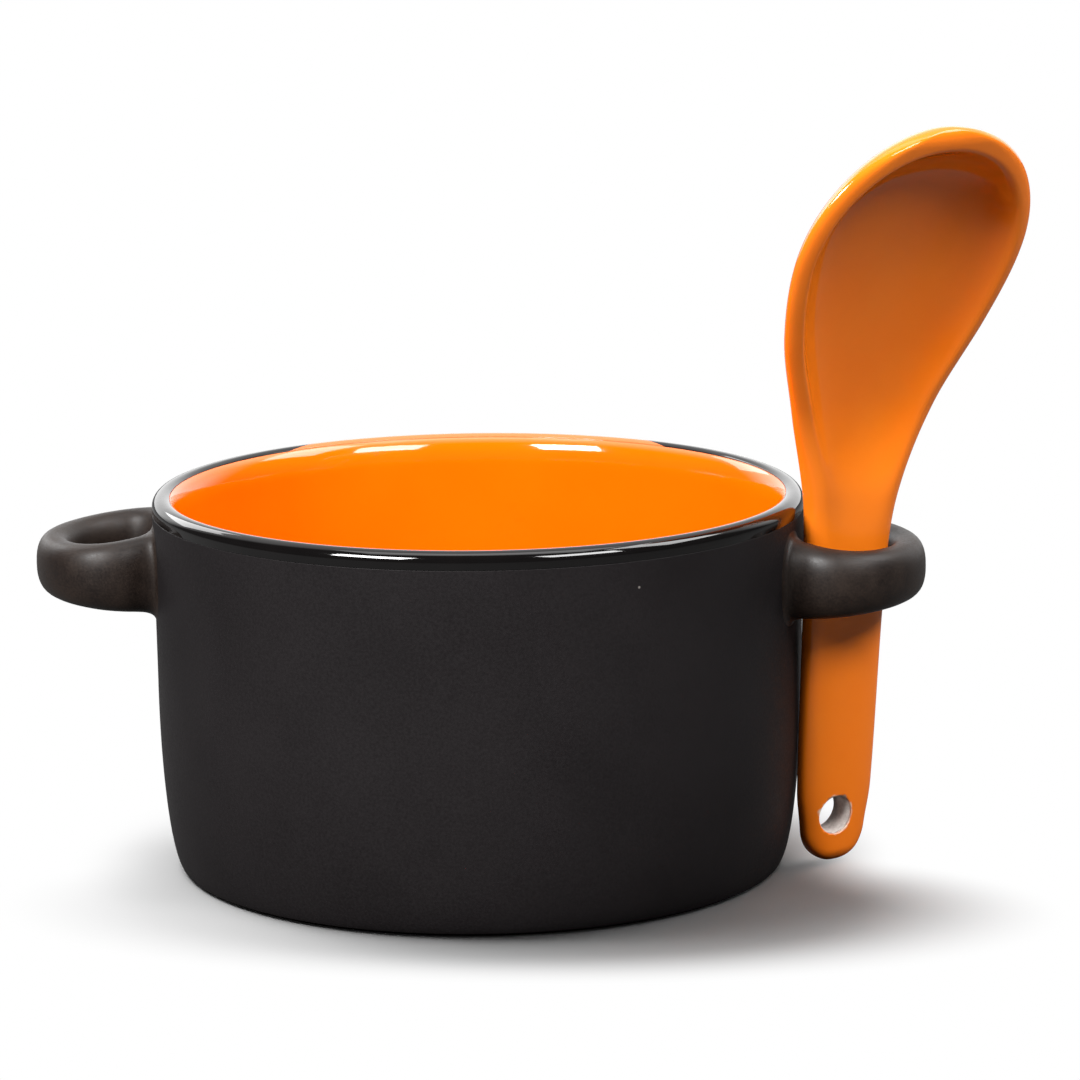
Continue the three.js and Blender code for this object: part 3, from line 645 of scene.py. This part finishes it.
def spoon_skin(inset, bowl_inset):
    """The whole skin of the spoon, drawn in by an inset that may grow from the grip to the bowl."""
    rings = []
    for station in stations:
        s = inset + station * (SPOON_LENGTH - 2 * inset) / SPOON_LENGTH
        rings.append(spoon_ring(s, inset + (bowl_inset - inset) * ease(s, LOOP_AT, RIM_THINNED)))
    bm = skinned(rings, False)
    open_edges = [e for e in bm.edges if e.is_boundary]
    for at_tail in (True, False):
        end = [e for e in open_edges if (e.verts[0].co.z < HANDLE_Z * MM) == at_tail]
        bmesh.ops.holes_fill(bm, edges=end, sides=0)
    bmesh.ops.poke(bm, faces=[f for f in bm.faces if len(f.verts) > 4])
    bmesh.ops.recalc_face_normals(bm, faces=bm.faces)
    if bm.calc_volume(signed=True) < 0:
        bmesh.ops.reverse_faces(bm, faces=bm.faces)
    return bm


hole_centre = spoon_point(HOLE_FROM_TAIL, HOLE_OFFSET, 0) * MM


def bored(bm, diameter, name):
    """Cuts the hanging hole straight through the grip."""
    cutter = bmesh.new()
    bmesh.ops.create_cone(cutter, cap_ends=True, segments=DRILL_SIDES, radius1=diameter / 2 * MM,
                          radius2=diameter / 2 * MM, depth=DRILL_LENGTH * MM)
    axes = Matrix((spoon_across, spoon_up, spoon_forward)).transposed().to_4x4()
    bmesh.ops.transform(cutter, matrix=Matrix.Translation(hole_centre) @ axes, verts=cutter.verts)
    bmesh.ops.recalc_face_normals(cutter, faces=cutter.faces)
    meshes = []
    for source, part in ((bm, name), (cutter, name + "_drill")):
        mesh = bpy.data.meshes.new(part)
        source.to_mesh(mesh)
        source.free()
        meshes.append(mesh)
    spoon, drill = (bpy.data.objects.new(mesh.name, mesh) for mesh in meshes)
    for made in (spoon, drill):
        bpy.context.scene.collection.objects.link(made)
    cut = spoon.modifiers.new("hole", "BOOLEAN")
    cut.object, cut.solver, cut.operation = drill, "EXACT", "DIFFERENCE"
    result = bmesh.new()
    result.from_object(spoon, bpy.context.evaluated_depsgraph_get())
    for made in (spoon, drill):
        bpy.data.objects.remove(made)
    for mesh in meshes:
        bpy.data.meshes.remove(mesh)
    return result


# Bare fired clay: chalky off-white with a grain of about 0.6 mm. It shows in the bore only.
CLAY_GRAIN, CLAY_TOOTH = 0.6, 0.15
BOWL_UNDER_COAT = 1.2
bare_clay, shader, place = new_material("bare_white_clay")
grain = add_node(bare_clay, "ShaderNodeTexNoise",
                 {"Vector": place, "Scale": 1 / (CLAY_GRAIN * MM), "Detail": 4.0})
chalk = add_node(bare_clay, "ShaderNodeMix",
                 {"Factor": grain.outputs["Fac"], "A": linear("#a3958f"), "B": linear("#e8ded8")},
                 data_type="RGBA")
tooth = add_node(bare_clay, "ShaderNodeBump",
                 {"Height": grain.outputs["Fac"], "Strength": 0.5, "Distance": CLAY_TOOTH * MM})
set_inputs(bare_clay, shader, {
    "Base Color": chalk.outputs["Result"], "Roughness": 0.85, "Normal": tooth.outputs["Normal"]})

clay = bored(spoon_skin(UNDER_COAT, BOWL_UNDER_COAT), HOLE_DIAMETER, "spoon_clay_blank")
add_piece(clay, "spoon_clay", bare_clay, "spoon", ["spoon_body"])

# Orange gloss glaze on the spoon: the liner's glaze, a little paler over white clay. It pools in
# clouds of about 14 mm and lies in soft ripples of about 8 mm.
SPOON_CLOUD, SPOON_RIPPLE = 14, 8
RAG_SIZE, RAG_REACH = 2.2, 2.4
BARE_WITHIN, GLAZED_BEYOND = HOLE_DIAMETER / 2 - 1.2, HOLE_DIAMETER / 2 - 0.6
orange_spoon, shader, place = new_material("orange_spoon_glaze")
cloud = add_node(orange_spoon, "ShaderNodeTexNoise",
                 {"Vector": place, "Scale": 1 / (SPOON_CLOUD * MM), "Detail": 3.0})
pooled = add_node(orange_spoon, "ShaderNodeMix",
                  {"Factor": cloud.outputs["Fac"], "A": linear("#f47612"), "B": linear("#fb831d")},
                  data_type="RGBA")
# Round the hanging hole the glaze drew back, and the clay shows through its ragged edge.
from_hole = add_node(orange_spoon, "ShaderNodeVectorMath", {0: place, 1: hole_centre},
                     operation="SUBTRACT")
through = add_node(orange_spoon, "ShaderNodeVectorMath",
                   {0: from_hole.outputs["Vector"], 1: spoon_forward}, operation="PROJECT")
beside = add_node(orange_spoon, "ShaderNodeVectorMath",
                  {0: from_hole.outputs["Vector"], 1: through.outputs["Vector"]},
                  operation="SUBTRACT")
clear = add_node(orange_spoon, "ShaderNodeVectorMath", {0: beside.outputs["Vector"]},
                 operation="LENGTH")
rag = add_node(orange_spoon, "ShaderNodeTexNoise",
               {"Vector": place, "Scale": 1 / (RAG_SIZE * MM), "Detail": 3.0})
ragged = add_node(orange_spoon, "ShaderNodeMath",
                  {0: rag.outputs["Fac"], 1: -RAG_REACH * MM, 2: clear.outputs["Value"]},
                  operation="MULTIPLY_ADD")
bared = add_node(orange_spoon, "ShaderNodeMapRange",
                 {"Value": ragged.outputs[0], "From Min": BARE_WITHIN * MM,
                  "From Max": GLAZED_BEYOND * MM, "To Min": 1.0, "To Max": 0.0},
                 interpolation_type="SMOOTHSTEP")
holed = add_node(orange_spoon, "ShaderNodeMix",
                 {"Factor": bared.outputs["Result"], "A": pooled.outputs["Result"],
                  "B": linear("#f2d9c4")}, data_type="RGBA")
ripple = add_node(orange_spoon, "ShaderNodeTexNoise",
                  {"Vector": place, "Scale": 1 / (SPOON_RIPPLE * MM), "Detail": 1.0})
flow = add_node(orange_spoon, "ShaderNodeBump",
                {"Height": ripple.outputs["Fac"], "Strength": 0.1, "Distance": RIPPLE_DEPTH * MM})
set_inputs(orange_spoon, shader, {
    "Base Color": holed.outputs["Result"], "Roughness": 0.08, "IOR": 1.48,
    "Normal": flow.outputs["Normal"]})

coat_bore = HOLE_DIAMETER + 2 * HOLE_STEP
coat = bored(spoon_skin(0, 0), coat_bore, "spoon_coat_blank")
bore_faces = []
for face in coat.faces:
    away = face.calc_center_median() - hole_centre
    off_axis = (away - spoon_forward * away.dot(spoon_forward)).length
    if off_axis < coat_bore / 2 * MM and abs(face.normal.dot(spoon_forward)) < 0.5:
        bore_faces.append(face)
bmesh.ops.delete(coat, geom=bore_faces, context="FACES")
spoon_coat = add_piece(coat, "spoon_coat", orange_spoon, "spoon", ["spoon_glaze"])
thickness = spoon_coat.modifiers.new("coat", "SOLIDIFY")
thickness.thickness, thickness.offset = COAT * MM, -1


# Studio
# A white paper sweep. Five soft boxes stand round the mug and light it alone: left and right of
# the camera, overhead, behind and at the right. A sixth, high on the left, lights the sweep alone
# and throws the mug's shadow on it. Sizes and distances here are in metres.

FLOOR_SIZE, FLOOR_DROP = 8, 0.05 * MM
SHADOW_STRETCH, SHADOW_CENTRE = Vector((1, 2, 1)), Vector((0.012, -0.038, 0))
SHADOW_FADE, FOOT_FADE = (0.062, 0.104), (0.058, 0.082)

floor_mesh = bmesh.new()
bmesh.ops.create_grid(floor_mesh, x_segments=1, y_segments=1, size=FLOOR_SIZE)
bmesh.ops.translate(floor_mesh, verts=floor_mesh.verts, vec=(0, 0, -FLOOR_DROP))
mesh = bpy.data.meshes.new("floor")
floor_mesh.to_mesh(mesh)
floor_mesh.free()
floor = bpy.data.objects.new("floor", mesh)
bpy.context.scene.collection.objects.link(floor)

# White paper: the camera sees it fade to plain white beyond the shadow. Other rays meet a duller
# paper, so that the floor throws little light back up at the mug.
sweep, shader, place = new_material("white_paper_sweep")
off_shadow = add_node(sweep, "ShaderNodeVectorMath",
                      {0: place, 1: SHADOW_STRETCH, 2: -SHADOW_CENTRE * SHADOW_STRETCH},
                      operation="MULTIPLY_ADD")
far = add_node(sweep, "ShaderNodeVectorMath", {0: off_shadow.outputs["Vector"]}, operation="LENGTH")
fade = add_node(sweep, "ShaderNodeMapRange",
                {"Value": far.outputs["Value"], "From Min": SHADOW_FADE[0], "From Max": SHADOW_FADE[1]},
                interpolation_type="SMOOTHSTEP")
from_axis = add_node(sweep, "ShaderNodeVectorMath", {0: place}, operation="LENGTH")
off_foot = add_node(sweep, "ShaderNodeMapRange",
                    {"Value": from_axis.outputs["Value"], "From Min": FOOT_FADE[0],
                     "From Max": FOOT_FADE[1]}, interpolation_type="SMOOTHSTEP")
clear = add_node(sweep, "ShaderNodeMath",
                 {0: fade.outputs["Result"], 1: off_foot.outputs["Result"]}, operation="MULTIPLY")
rays = add_node(sweep, "ShaderNodeLightPath", {})
white = add_node(sweep, "ShaderNodeMath",
                 {0: clear.outputs[0], 1: rays.outputs["Is Camera Ray"]}, operation="MULTIPLY")
tone = add_node(sweep, "ShaderNodeMix",
                {"Factor": rays.outputs["Is Camera Ray"], "A": linear("#848484"),
                 "B": linear("#f0f0f0")}, data_type="RGBA")
paper = add_node(sweep, "ShaderNodeBsdfDiffuse", {"Color": tone.outputs["Result"]})
glow = add_node(sweep, "ShaderNodeEmission", {"Color": (1, 1, 1, 1), "Strength": 1.0})
mixed = add_node(sweep, "ShaderNodeMixShader",
                 {0: white.outputs[0], 1: paper.outputs[0], 2: glow.outputs[0]})
output = sweep.node_tree.nodes["Material Output"]
set_inputs(sweep, output, {"Surface": mixed.outputs[0]})
sweep.node_tree.nodes.remove(shader)
floor.data.materials.append(sweep)

VIEW_TURN = math.radians(5.5)
AIM = Vector((0, 0, 0.06))


def soft_box(name, azimuth, elevation, distance, size, power, lit):
    """A soft box aimed at the mug. Its azimuth in degrees is from the camera's side, right positive."""
    lamp = bpy.data.lights.new(name, "AREA")
    lamp.shape, lamp.size, lamp.size_y, lamp.energy = "RECTANGLE", size[0], size[1], power
    box = bpy.data.objects.new(name, lamp)
    turn, rise = math.radians(azimuth) + VIEW_TURN, math.radians(elevation)
    back = Vector((math.sin(turn) * math.cos(rise), -math.cos(turn) * math.cos(rise), math.sin(rise)))
    box.location = AIM + back * distance
    box.rotation_mode = "QUATERNION"
    box.rotation_quaternion = (-back).to_track_quat("-Z", "Y")
    box.visible_camera = False
    bpy.context.scene.collection.objects.link(box)
    box.light_linking.receiver_collection = lit


floor_alone = bpy.data.collections.new("floor_alone")
floor_alone.objects.link(floor)
soft_box("left_soft_box", -40, 36, 1.3, (0.55, 0.38), 29, mug_and_spoon)
soft_box("right_soft_box", 41, 40, 1.3, (0.55, 0.38), 11, mug_and_spoon)
soft_box("overhead_soft_box", 0, 88, 1.3, (1.2, 0.6), 5, mug_and_spoon)
soft_box("back_soft_box", -140, 28, 1.3, (0.6, 0.5), 4, mug_and_spoon)
soft_box("side_soft_box", 92, 48, 1.3, (0.6, 0.6), 9, mug_and_spoon)
soft_box("floor_soft_box", -108, 62, 1.2, (0.7, 0.7), 12, floor_alone)

# The room is white to the camera. For light and reflections it has a white screen behind the mug,
# brightest low down, and is dark elsewhere.
SCREEN_TILT, SCREEN_EDGE = 0.75, (0.6, 0.85)
ROOM_DARK, SCREEN_WHITE = 0.03, 0.9
SCREEN_FOOT, FOOT_GAIN = (0.25, 0.5), 1.8

world = bpy.data.worlds.new("white_room")
bpy.context.scene.world = world
world.use_nodes = True
rays = add_node(world, "ShaderNodeLightPath", {})
way = add_node(world, "ShaderNodeTexCoord", {}).outputs["Generated"]
ahead = add_node(world, "ShaderNodeSeparateXYZ", {"Vector": way})
raised = add_node(world, "ShaderNodeMath",
                  {0: ahead.outputs["Z"], 1: SCREEN_TILT, 2: ahead.outputs["Y"]},
                  operation="MULTIPLY_ADD")
behind = add_node(world, "ShaderNodeMapRange",
                  {"Value": raised.outputs[0], "From Min": SCREEN_EDGE[0], "From Max": SCREEN_EDGE[1],
                   "To Min": ROOM_DARK, "To Max": SCREEN_WHITE})
low_gain = add_node(world, "ShaderNodeMapRange",
                    {"Value": ahead.outputs["Z"], "From Min": SCREEN_FOOT[0],
                     "From Max": SCREEN_FOOT[1], "To Min": FOOT_GAIN, "To Max": 1.0},
                    interpolation_type="SMOOTHSTEP")
room = add_node(world, "ShaderNodeMath",
                {0: behind.outputs["Result"], 1: low_gain.outputs["Result"]}, operation="MULTIPLY")
level = add_node(world, "ShaderNodeMix",
                 {"Factor": rays.outputs["Is Camera Ray"], "A": room.outputs[0], "B": 1.0})
set_inputs(world, world.node_tree.nodes["Background"],
           {"Color": (1, 1, 1, 1), "Strength": level.outputs["Result"]})

CAMERA_AT = Vector((103.9, -953.3, 255.7)) * MM
CAMERA_DIP, CAMERA_ROLL = math.radians(11.33), math.radians(-0.576)
camera_data = bpy.data.cameras.new("camera")
camera_data.lens, camera_data.sensor_width = 166.67, 36
camera = bpy.data.objects.new("camera", camera_data)
bpy.context.scene.collection.objects.link(camera)
camera.matrix_world = (Matrix.Translation(CAMERA_AT) @ Matrix.Rotation(VIEW_TURN, 4, "Z")
                       @ Matrix.Rotation(QUARTER - CAMERA_DIP, 4, "X")
                       @ Matrix.Rotation(CAMERA_ROLL, 4, "Z"))
bpy.context.scene.camera = camera
bpy.context.scene.view_settings.view_transform = "Standard"
